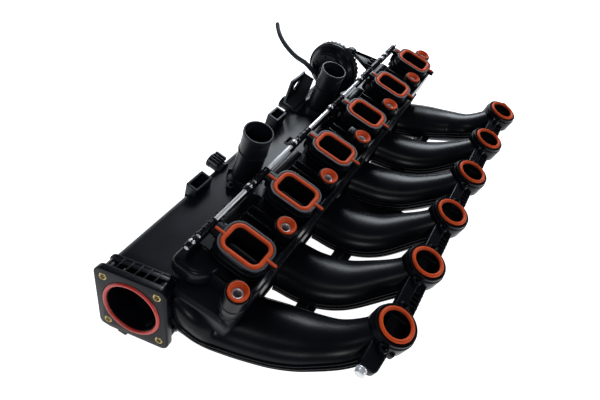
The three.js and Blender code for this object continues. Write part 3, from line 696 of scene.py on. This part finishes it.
upper_shells.append(seam(SPLIT, SPLIT + 3.2, 3.0))
lower_shells.append(seam(SPLIT - 3.4, SPLIT - 0.3, 3.4))
deck_here = deck_plane(SNOUT_Y)
for x, top in SNOUTS:
    wall = fillet([
        (13.05, deck_here - 6), (16.4, deck_here - 6), (16.2, top - 7), (16.9, top - 5.4), (16.9, top),
        (14.9, top),
        (14.2, top - 5), (13.05, top - 9),
    ], 0.7)
    upper_shells.append(ring(disc(0, x, SNOUT_Y, 64), wall))
    foot = fillet([(16, deck_here - 6), (22, deck_here - 4), (17.4, deck_here + 8), (16, deck_here + 8)],
        2.5, 4)
    upper_shells.append(ring(disc(0, x, SNOUT_Y, 64), foot))
    upper_shells.append(collar(disc(17.1, x, SNOUT_Y, 64), 1.2, top - 30, top - 28.6, 0.4))
    for turn in (35, 125, 215, 305):
        a = math.radians(turn)
        web = []
        for along, off in ((15.5, -0.8), (21, -0.8), (21, 0.8), (15.5, 0.8)):
            web.append((x + along * math.cos(a) - off * math.sin(a),
                SNOUT_Y + along * math.sin(a) + off * math.cos(a)))
        upper_shells.append(slab(poly(web, 0.4, 2), deck_here - 8, deck_here + 12, 0.4))


def socket(x0, x1, y0, y1, z0, z1, wall):
    outline = rounded(x1 - x0, y1 - y0, 1.6, (x0 + x1) / 2, (y0 + y1) / 2, 4)
    return [collar(outline, wall, z0, z1, 0.7), slab(outline, z0, z0 + 10, 0.7)]


upper_shells += socket(FIRST + 46, FIRST + 74, 92, 108, -74, -48, 3)
upper_shells.append(block(FIRST + 58, FIRST + 62, 105, 108.6, -72, -50, 0.5, 0.6))
upper_shells += socket(FIRST + 207, FIRST + 231, 90, 107, -72, -42, 3)
upper_shells.append(block(FIRST + 217, FIRST + 221, 104, 107.6, -70, -44, 0.5, 0.6))
for x, z in ((FIRST + 106, -64), (FIRST + 272, -66)):
    stub = ring(disc(0, 0, 0, 40), fillet([(3, 97), (8.4, 97), (8.4, 114), (9, 115), (9, 119), (5.8, 119),
        (5.8, 108), (3, 108)], 0.6))
    upper_shells.append(moved(along_y(stub), x, 0, z))
    upper_shells.append(moved(along_y(cyl(0, 0, 97, 108.5, 7.6)), x, 0, z))
upper_shells.append(block(FIRST + 97, FIRST + 115, 102, 117, -58, -53, 0.8, 1.4))
for step in (99, 103, 107, 111):
    upper_shells.append(block(FIRST + step, FIRST + step + 1.4, 103, 116.6, -54, -51.6, 0.4, 0.4))
boss_z = deck_plane(71)
upper_shells.append(collar(disc(5, FIRST + 82, 71, 32), 2.6, boss_z - 2, boss_z + 7, 0.6))
upper_shells.append(cyl(FIRST + 82, 71, boss_z - 2, boss_z + 3, 4.4))
for x, y in ((FIRST + 20, 40), (FIRST + 160, 42), (FIRST + 250, 44)):
    upper_shells.append(cyl(x, y, deck_plane(y) - 3, deck_plane(y) + 4, 4, 0.8, 28))
for step in range(5):
    x = FIRST + 30 + step * 12
    upper_shells.append(block(x, x + 1.5, 34, 60, deck_plane(60) - 2, deck_plane(60) + 3.2, 0.5, 0.5))
upper_shells.append(mapped(collar(oval, 1.5, -1.5, 1.3, 0.5), lambda v: (v.x, v.y, v.z + deck_plane(v.y))))


def cheek_loop(t, n=64):
    """A loop between the flange's back and the plenum's front outline."""
    points = []
    for j in range(n):
        a = 2 * math.pi * (j + 0.5) / n
        reach = 34 / max(abs(math.cos(a)) ** 3 + abs(math.sin(a)) ** 3, 1e-6) ** (1 / 3)
        start = THROTTLE @ Vector((reach * math.cos(a), reach * math.sin(a), -14))
        base_y, base_z = 42.0, -84.0
        direction = Vector((start.y - 58, start.z + 81)).normalized()
        low, high = 0.0, 120.0
        for _ in range(24):
            trial = (low + high) / 2
            y = base_y + direction.x * trial
            z = base_z + direction.y * trial
            top = deck_plane(y) if y > 28 else -46.0
            inside = 4 < y < 105 and -118 < z < top - 1.5
            low, high = (trial, high) if inside else (low, trial)
        end = Vector((front_edge(base_y) + 5, base_y + direction.x * low, base_z + direction.y * low))
        ease = smooth_step(t, 0, 1)
        points.append(Vector((mix(start.x, end.x, t), mix(start.y, end.y, ease), mix(start.z, end.z, ease))))
    return points


duct_solid = sweep([cheek_loop(i / 12) for i in range(13)])
bore_cut = placed(cyl(0, 0, -26, 2, 27.5, 0.1, 64), THROTTLE)
inner_cut = placed(cyl(0, 0, -34, -20, 22, 0.1, 64), THROTTLE)
upper_shells.append(carved(duct_solid, [bore_cut, inner_cut, plenum_solid(3, 3)]))
duct_floor = block(PLENUM_FRONT - 15, PLENUM_FRONT + 6, 34, 94, -121, -115, 2, 4)
upper_shells.append(duct_floor)
piece("plenum_top", upper_shells, SHELL, ["plenum_upper_shell"], sharp=30)

for step in range(7):
    x = FIRST - 20 + step * 56
    lower_shells.append(block(x, x + 1.8, 0, 88, FLOOR_Z + 1.2, FLOOR_Z + 14, 0.6, 0.6))
for y in (12, 40, 68):
    lower_shells.append(block(FIRST - 30, LAST - 80, y, y + 1.8, FLOOR_Z + 1.6, FLOOR_Z + 14, 0.6, 0.6))
piece("plenum_bottom", lower_shells, SHELL, ["plenum_lower_shell"], sharp=30)


# ------------------------------------------------------------------ throttle flange
HALF = 40.5
plate = rounded(2 * HALF, 2 * HALF, 9, 0, 0, 8)
front_plate = carved(slab(plate, -8, 0, 1.0), [
    cyl(0, 0, -40, 5, 28, 0.1, 72), ring(disc(0, 0, 0, 72), [(26, -2.2), (33, -2.2), (33, 2), (26, 2)]),
] + [cyl(x, y, -14, 2, 4.6, 0.1, 32) for x in (-30, 30) for y in (-30, 30)])
flange = [front_plate, collar(rounded(2 * HALF - 3, 2 * HALF - 3, 8), 12, -25, -21.5, 0.7),
    collar(disc(31.5, 0, 0, 72), 3.6, -25, -0.6, 0.4)]
for at in (-21, -10.5, 0, 10.5, 21):
    for a, b in ((-HALF + 1.4, -29), (29, HALF - 1.4)):
        flange.append(block(at - 0.8, at + 0.8, a, b, -23, -6, 0.3, 0.3))
        flange.append(block(a, b, at - 0.8, at + 0.8, -23, -6, 0.3, 0.3))
for x in (-30, 30):
    for y in (-30, 30):
        flange.append(collar(disc(7.5, x, y, 32), 2.8, -24, -0.3, 0.5))
        flange.append(cyl(x, y, -24, -13.6, 5.2))
flange.append(cyl(-14, -HALF + 0.5, -8, -0.2, 6, 1.0, 32))
for a, b in ((-HALF + 2, -HALF + 3.4), (HALF - 3.4, HALF - 2)):
    flange.append(block(-HALF + 9, HALF - 9, a, b, -22, -16, 0.4, 0.4))
piece("flange", [placed(s, THROTTLE) for s in flange], NYLON, ["throttle_flange"])

insert_spots = [(-30, 30), (30, 30), (30, -30), (-30, -30)]
for i, (x, y) in enumerate(insert_spots):
    thread = [(4.35, -13.4), (4.35, -0.3), (4.0, -0.02), (3.0, -0.02)]
    for turn in range(12):
        z = -0.6 - turn
        thread += [(2.6, z), (2.95, z - 0.5)]
    thread.append((2.7, -13.4))
    shells = [placed(ring(disc(0, x, y, 36), thread), THROTTLE)]
    shells.append(placed(collar(disc(3.9, x, y, 36), 0.7, -0.4, 0.25, 0.15), THROTTLE))
    piece(f"insert_{i + 1}", shells, BRASS, [f"throttle_insert_{i + 1}"])

points = []
for i in range(20):
    a = 2 * math.pi * i / 20
    points.append((30.4 + (1.95 + (0.12 if i in (0, 10) else 0)) * math.cos(a), 1.95 * math.sin(a)))
piece("throttle_seal", [placed(ring(disc(0, 0, 0, 96), points), THROTTLE)], RED,
    ["throttle_o_ring"])


# ------------------------------------------------------------------ swirl flaps and linkage
SHAFT_Z = -26.0
LEVER = 16.0
TILT = math.radians(40)
PIN = (LEVER * math.sin(TILT), SHAFT_Z + LEVER * math.cos(TILT))
LINK_Y = 40.6
LINK_Z = -3.0


def lever_shell(thick0, thick1):
    points = []
    for i in range(9):
        a = math.pi + math.pi * i / 8
        points.append((5 * math.cos(a), 5 * math.sin(a)))
    for i in range(9):
        a = math.pi * i / 8
        points.append((3.8 * math.cos(a), LEVER + 3.8 * math.sin(a)))
    turned = []
    for x, z in points:
        turned.append((x * math.cos(TILT) + z * math.sin(TILT),
            SHAFT_Z - x * math.sin(TILT) + z * math.cos(TILT)))
    return along_y(slab(poly(turned, 0.4, 2), thick0, thick1, 0.5))


for k, x in enumerate(PORT_X):
    plate_shell = along_x(slab(rounded(36.4, 24.4, 6.5, 0, SHAFT_Z, 8), -1.2, 1.2, 0.6))
    shells = [plate_shell, along_y(moved(cyl(0, SHAFT_Z, -21, 33.6, 3.0, 0.5, 28), 0, 0, 0)),
        lever_shell(29.8, 33.6)]
    shells.append(along_y(cyl(PIN[0], PIN[1], 30, 43.2, 1.8, 0.5, 20)))
    for step in (-11, 0, 11):
        shells.append(block(-1.7, 1.7, step - 0.7, step + 0.7, SHAFT_Z - 10, SHAFT_Z + 10, 0.4, 0.4))
    piece(f"flap_{k + 1}_blade", [moved(s, x) for s in shells], GREY,
        [f"swirl_flap_{k + 1}"], f"flap_{k + 1}")

rod_low, rod_high = span("link_rod")
rod = along_x(ring(disc(0, LINK_Y, LINK_Z, 28), [
    (0.1, rod_low[0]), (1.8, rod_low[0] + 0.1), (2.4, rod_low[0] + 0.9), (2.4, rod_high[0] - 0.9), (1.8,
    rod_high[0] - 0.1), (0.1, rod_high[0]),
], closed=False, first_cap=True, last_cap=True))
rings = [along_x(collar(disc(2.55, LINK_Y, LINK_Z, 28), 0.5, x - 10.4, x - 9.4, 0.2)) for x in PORT_X]
piece("link_bar", [rod] + rings, ZINC, ["link_rod"], "link")
clip_shells = []
stud_shells = []
for x in PORT_X:
    at = x - 31
    clip_shells.append(block(at - 6, at + 6, LINK_Y - 3.6, LINK_Y + 3.8, LINK_Z - 5, LINK_Z + 2.4, 1.0, 1.6))
    clip_shells.append(along_x(collar(disc(4.0, LINK_Y, LINK_Z, 32), 1.6, at - 7.2, at + 7.2, 0.5)))
    clip_shells.append(along_x(collar(disc(3.5, LINK_Y, LINK_Z, 32), 1.1, x - 21, x + 3, 0.4)))
    for step in (-20, -12, -4, 2):
        clip_shells.append(along_x(collar(disc(4.1, LINK_Y, LINK_Z, 32), 1.7, x + step - 0.9,
            x + step + 0.9, 0.3)))
    clip_shells.append(block(at - 3, at + 3, LINK_Y - 2, LINK_Y + 2, PIN[1], LINK_Z, 0.6, 0.8))
    clip_shells.append(block(at - 3, x + PIN[0], LINK_Y - 2, LINK_Y + 2, PIN[1] - 2.4, PIN[1] + 2.4, 0.6,
        0.8))
    eye = ring(disc(0, x + PIN[0], PIN[1], 28), fillet([(2.1, LINK_Y - 2), (4.2, LINK_Y - 2), (4.2,
        LINK_Y + 2), (2.1, LINK_Y + 2)], 0.4))
    clip_shells.append(along_y(eye))
    stud_shells.append(cyl(at, LINK_Y, LINK_Z + 2, LINK_Z + 3.9, 2.8, 0.9, 28))
    stud_shells.append(cyl(at, LINK_Y, LINK_Z + 1.8, LINK_Z + 2.8, 3.4, 0.3, 28))
piece("link_clips", clip_shells, NYLON, ["link_rod"], "link")
piece("link_studs", stud_shells, ZINC, ["link_rod"], "link")

CAN_Y = 83.0
CAN_Z = -9.0
BALL_X = span("actuator_rod")[1][0] - 3.4
arm_low, _ = span("drive_arm")
base0 = arm_low[0]
base1 = PORT_X[4] + 42
outline = [(base0, LINK_Y + 3), (base1, LINK_Y + 3), (BALL_X + 3.5, CAN_Y - 4), (BALL_X - 3.5, CAN_Y - 4)]
arm_shells = [slab(poly(outline, 1.5, 3), -9.9, -6.6, 0.6)]
for a, b in (((base0 + 1, LINK_Y + 3), (BALL_X - 3, CAN_Y - 5)), ((base1 - 1, LINK_Y + 3), (BALL_X + 3,
    CAN_Y - 5))):
    rib = [(a[0] - 0.8, a[1]), (a[0] + 0.8, a[1]), (b[0] + 0.8, b[1]), (b[0] - 0.8, b[1])]
    arm_shells.append(slab(poly(rib, 0.5, 2), -9.8, -4.1, 0.5))
arm_shells.append(along_x(collar(disc(4.3, LINK_Y, LINK_Z, 36), 1.6, base0, base1, 0.5)))
arm_shells.append(block(base0, base1, LINK_Y - 3.4, LINK_Y + 4.2, -9.8, -6.4, 0.6, 0.8))
for step in (0.25, 0.5, 0.75):
    x = mix(base0, base1, step)
    arm_shells.append(block(x - 0.7, x + 0.7, LINK_Y + 3, LINK_Y + 12, -9.6, -4.4, 0.4, 0.4))
knob = carved(ring(disc(0, BALL_X, CAN_Y, 48), fillet([
    (0.05, CAN_Z - 5.4), (7.1, CAN_Z - 5.4), (7.1, CAN_Z + 3.5), (6.2, CAN_Z + 6), (3, CAN_Z + 6.9),
    (0.05, CAN_Z + 6.9)], 0.8),
    closed=False, first_cap=True, last_cap=True),
    [cyl(BALL_X, CAN_Y, CAN_Z - 7, CAN_Z + 5, 4.6, 0.1, 32), block(BALL_X - 12, BALL_X, CAN_Y - 2.7,
    CAN_Y + 2.7, CAN_Z - 7, CAN_Z + 2.8, 0.1, 0.1)])
arm_shells.append(knob)
piece("drive_lever", arm_shells, NYLON, ["drive_arm"], "link")


# ------------------------------------------------------------------ vacuum actuator
RIM = 101.5
FRONT = 86.0
REAR = 121.0
cover = fillet([
    (8.5, FRONT - 8), (12, FRONT - 8), (12, FRONT - 1), (14, FRONT), (25, FRONT + 0.2), (29.5, FRONT + 4),
    (33.5, RIM - 5),
    (36.9, RIM - 4.6), (36.9, RIM - 0.2), (29, RIM - 0.2), (26, FRONT + 6), (23, FRONT + 2.6), (3,
    FRONT + 2.6), (3, FRONT - 2), (8.5, FRONT - 2),
], 1.6, 4)
cover_shells = [along_x(ring(disc(0, CAN_Y, CAN_Z, 96), cover))]
for radius in (19.0, 27.5):
    x = FRONT - 0.2 if radius < 25 else FRONT + 2.4
    cover_shells.append(along_x(collar(disc(radius, CAN_Y, CAN_Z, 96), 1.4, x - 0.6, x + 1.4, 0.4)))
for i in range(8):
    a = 2 * math.pi * i / 8 + 0.2
    rib = [(12, -0.7), (24, -0.7), (24, 0.7), (12, 0.7)]
    turned = [(CAN_Y + u * math.cos(a) - v * math.sin(a),
        CAN_Z + u * math.sin(a) + v * math.cos(a)) for u, v in rib]
    cover_shells.append(along_x(slab(poly(turned, 0.4, 2), FRONT - 1.0, FRONT + 1, 0.4)))
NIPPLE = (80.6, 93.0, -17.4)
cover_shells.append(along_x(cyl(NIPPLE[1], NIPPLE[2], NIPPLE[0] - 3.4, FRONT + 1, 4, 0.8, 32)))
cover_shells.append(along_y(cyl(NIPPLE[0], NIPPLE[2], NIPPLE[1], 97.2, 2.6, 0.3, 24)))
cover_shells.append(along_y(collar(disc(3.1, NIPPLE[0], NIPPLE[2], 24), 0.8, 95.6, 96.6, 0.3)))
piece("can_cover", cover_shells, NYLON, ["actuator_cover"])

can = fillet([
    (2.8, REAR - 3), (17, REAR - 3), (26, REAR - 7), (30, RIM + 0.2), (36.9, RIM + 0.2), (36.9, RIM + 5),
    (33.5, RIM + 5.4),
    (31.5, RIM + 10), (28, REAR - 3), (20, REAR), (2.8, REAR),
], 1.2, 3)
can_shells = [along_x(ring(disc(0, CAN_Y, CAN_Z, 96), can))]
for i in range(36):
    a = 2 * math.pi * i / 36
    tooth = [(34.5, -1.6), (36.99, -1.6), (36.99, 1.6), (34.5, 1.6)]
    turned = [(CAN_Y + u * math.cos(a) - v * math.sin(a),
        CAN_Z + u * math.sin(a) + v * math.cos(a)) for u, v in tooth]
    can_shells.append(along_x(slab(poly(turned, 0.4, 2), RIM + 0.4, RIM + 6.6, 0.5)))
piece("can_body", can_shells, NYLON, ["actuator_body"])

stem = ring(disc(0, CAN_Y, CAN_Z, 28), fillet([
    (0.05, 111), (15, 111), (15, 114), (3, 114), (2, 116), (2, BALL_X - 3), (0.05, BALL_X - 3)], 0.4),
    closed=False, first_cap=True, last_cap=True)
stem_shells = [along_x(stem)]
ball_profile = [(max(3.4 * math.sin(math.pi * i / 14), 0.05),
    BALL_X - 3.4 * math.cos(math.pi * i / 14)) for i in range(15)]
stem_shells.append(along_x(ring(disc(0, CAN_Y, CAN_Z, 32), ball_profile, closed=False, first_cap=True,
    last_cap=True)))
piece("stem", stem_shells, ZINC, ["actuator_rod"], "actuator_stem")
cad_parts["actuator_spring"].data.materials.clear()
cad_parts["actuator_spring"].data.materials.append(ZINC)

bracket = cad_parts["actuator_bracket"]
copy = bracket.data.copy()
work = bmesh.new()
work.from_mesh(copy)
bmesh.ops.remove_doubles(work, verts=work.verts, dist=1e-6)
bmesh.ops.dissolve_limit(work, angle_limit=0.02, verts=work.verts, edges=work.edges)
hard = [e for e in work.edges if len(e.link_faces) == 2 and e.calc_face_angle(0) > 0.5]
bmesh.ops.bevel(work, geom=hard, offset=0.5 * MM, segments=2, profile=0.5, affect="EDGES",
    clamp_overlap=True)
work.to_mesh(copy)
work.free()
copy.materials.clear()
copy.materials.append(SHEET)
bracket_piece = bpy.data.objects.new("bracket", copy)
bpy.context.scene.collection.objects.link(bracket_piece)
soften(bracket_piece, 30)
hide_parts("actuator_bracket")
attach(bracket_piece, "manifold_body")


# ------------------------------------------------------------------ vacuum hose
HOSE_ROUTE = [
    (80.6, 97.6, -17.4), (80.6, 101, -17.4), (81.4, 106.6, -16.8), (84, 113.5, -16.8), (88.8, 121.4, -18.8),
    (94, 130, -22.6), (99.4, 138.9, -26.4), (105.2, 148.6, -29.6), (111, 158.6, -31.5), (117.3, 169.6,
    -32.7),
    (124.9, 180.3, -34), (133.6, 190.4, -35.4), (143.4, 199.5, -37), (153.5, 207.8, -38.5), (164.1, 215.3,
    -40),
]
HOSE_RADIUS = 3.45
hose_path = spline(HOSE_ROUTE, 120)
hose_loops = []
for p, side, rise, _ in frames(hose_path, Vector((0, 0, 1))):
    hose_loops.append([p + side * HOSE_RADIUS * math.cos(a) + rise * HOSE_RADIUS * math.sin(a)
                       for a in (2 * math.pi * j / 24 for j in range(24))])
hose = piece("hose", [sweep(hose_loops)], HOSE, ["vacuum_hose"])


# ------------------------------------------------------------------ studio
def backdrop():
    mesh = bpy.data.meshes.new("floor")
    size = 6.0
    z = FLOOR_Z * MM - 0.0005
    mesh.from_pydata([(-size, -size, z), (size, -size, z), (size, size, z), (-size, size, z)], [], [(0, 1,
        2, 3)])
    obj = bpy.data.objects.new("floor", mesh)
    bpy.context.scene.collection.objects.link(obj)
    material = bpy.data.materials.new("pale floor")
    material.use_nodes = True
    shader = material.node_tree.nodes["Principled BSDF"]
    shader.inputs["Base Color"].default_value = (0.93, 0.93, 0.94, 1)
    shader.inputs["Roughness"].default_value = 0.9
    shader.inputs["Emission Color"].default_value = (1, 1, 1, 1)
    shader.inputs["Emission Strength"].default_value = 0.95
    mesh.materials.append(material)


def softbox(name, direction, distance, size, power, tone=(1, 1, 1)):
    light = bpy.data.lights.new(name, "AREA")
    light.shape = "RECTANGLE"
    light.size = size[0]
    light.size_y = size[1]
    light.energy = power
    light.color = tone
    obj = bpy.data.objects.new(name, light)
    place = Vector(direction).normalized() * distance
    obj.location = place
    obj.rotation_euler = (-place).to_track_quat("-Z", "Y").to_euler()
    bpy.context.scene.collection.objects.link(obj)


backdrop()
softbox("key", (0.80, 0.45, 0.50), 2.2, (1.1, 0.8), 52, (0.86, 0.93, 1.0))
softbox("overhead", (-0.35, 0.05, 1.0), 2.6, (0.4, 0.25), 4)
softbox("front", (-0.9, -0.3, 0.6), 2.8, (0.5, 0.3), 12)
softbox("side", (0.15, -1.0, 0.35), 2.8, (1.4, 0.15), 20)
world = bpy.data.worlds.new("studio")
world.use_nodes = True
world.node_tree.nodes["Background"].inputs["Color"].default_value = (0.93, 0.95, 1.0, 1)
world.node_tree.nodes["Background"].inputs["Strength"].default_value = 0.12
bpy.context.scene.world = world
bpy.context.scene.view_settings.view_transform = "Standard"

CAMERA_HEADING = 10.87
CAMERA_TILT = -49.8
CAMERA_ROLL = -27.08
CAMERA_FROM_FIRST = Vector((-219.4, -67.6, 364.7))
heading, tilt, roll = (math.radians(v) for v in (CAMERA_HEADING, CAMERA_TILT, CAMERA_ROLL))
forward = Vector((math.cos(tilt) * math.cos(heading), math.cos(tilt) * math.sin(heading), math.sin(tilt)))
level = forward.cross(Vector((0, 0, 1))).normalized()
right = level * math.cos(roll) + forward.cross(level) * math.sin(roll)
camera_data = bpy.data.cameras.new("camera")
camera_data.lens = 27.0
camera_data.sensor_width = 36.0
camera = bpy.data.objects.new("camera", camera_data)
camera_place = (CAMERA_FROM_FIRST + Vector((FIRST, 0, 0))) * MM
turn = Matrix((right, right.cross(forward), -forward)).transposed().to_4x4()
camera.matrix_world = Matrix.Translation(camera_place) @ turn
bpy.context.scene.collection.objects.link(camera)
bpy.context.scene.camera = camera
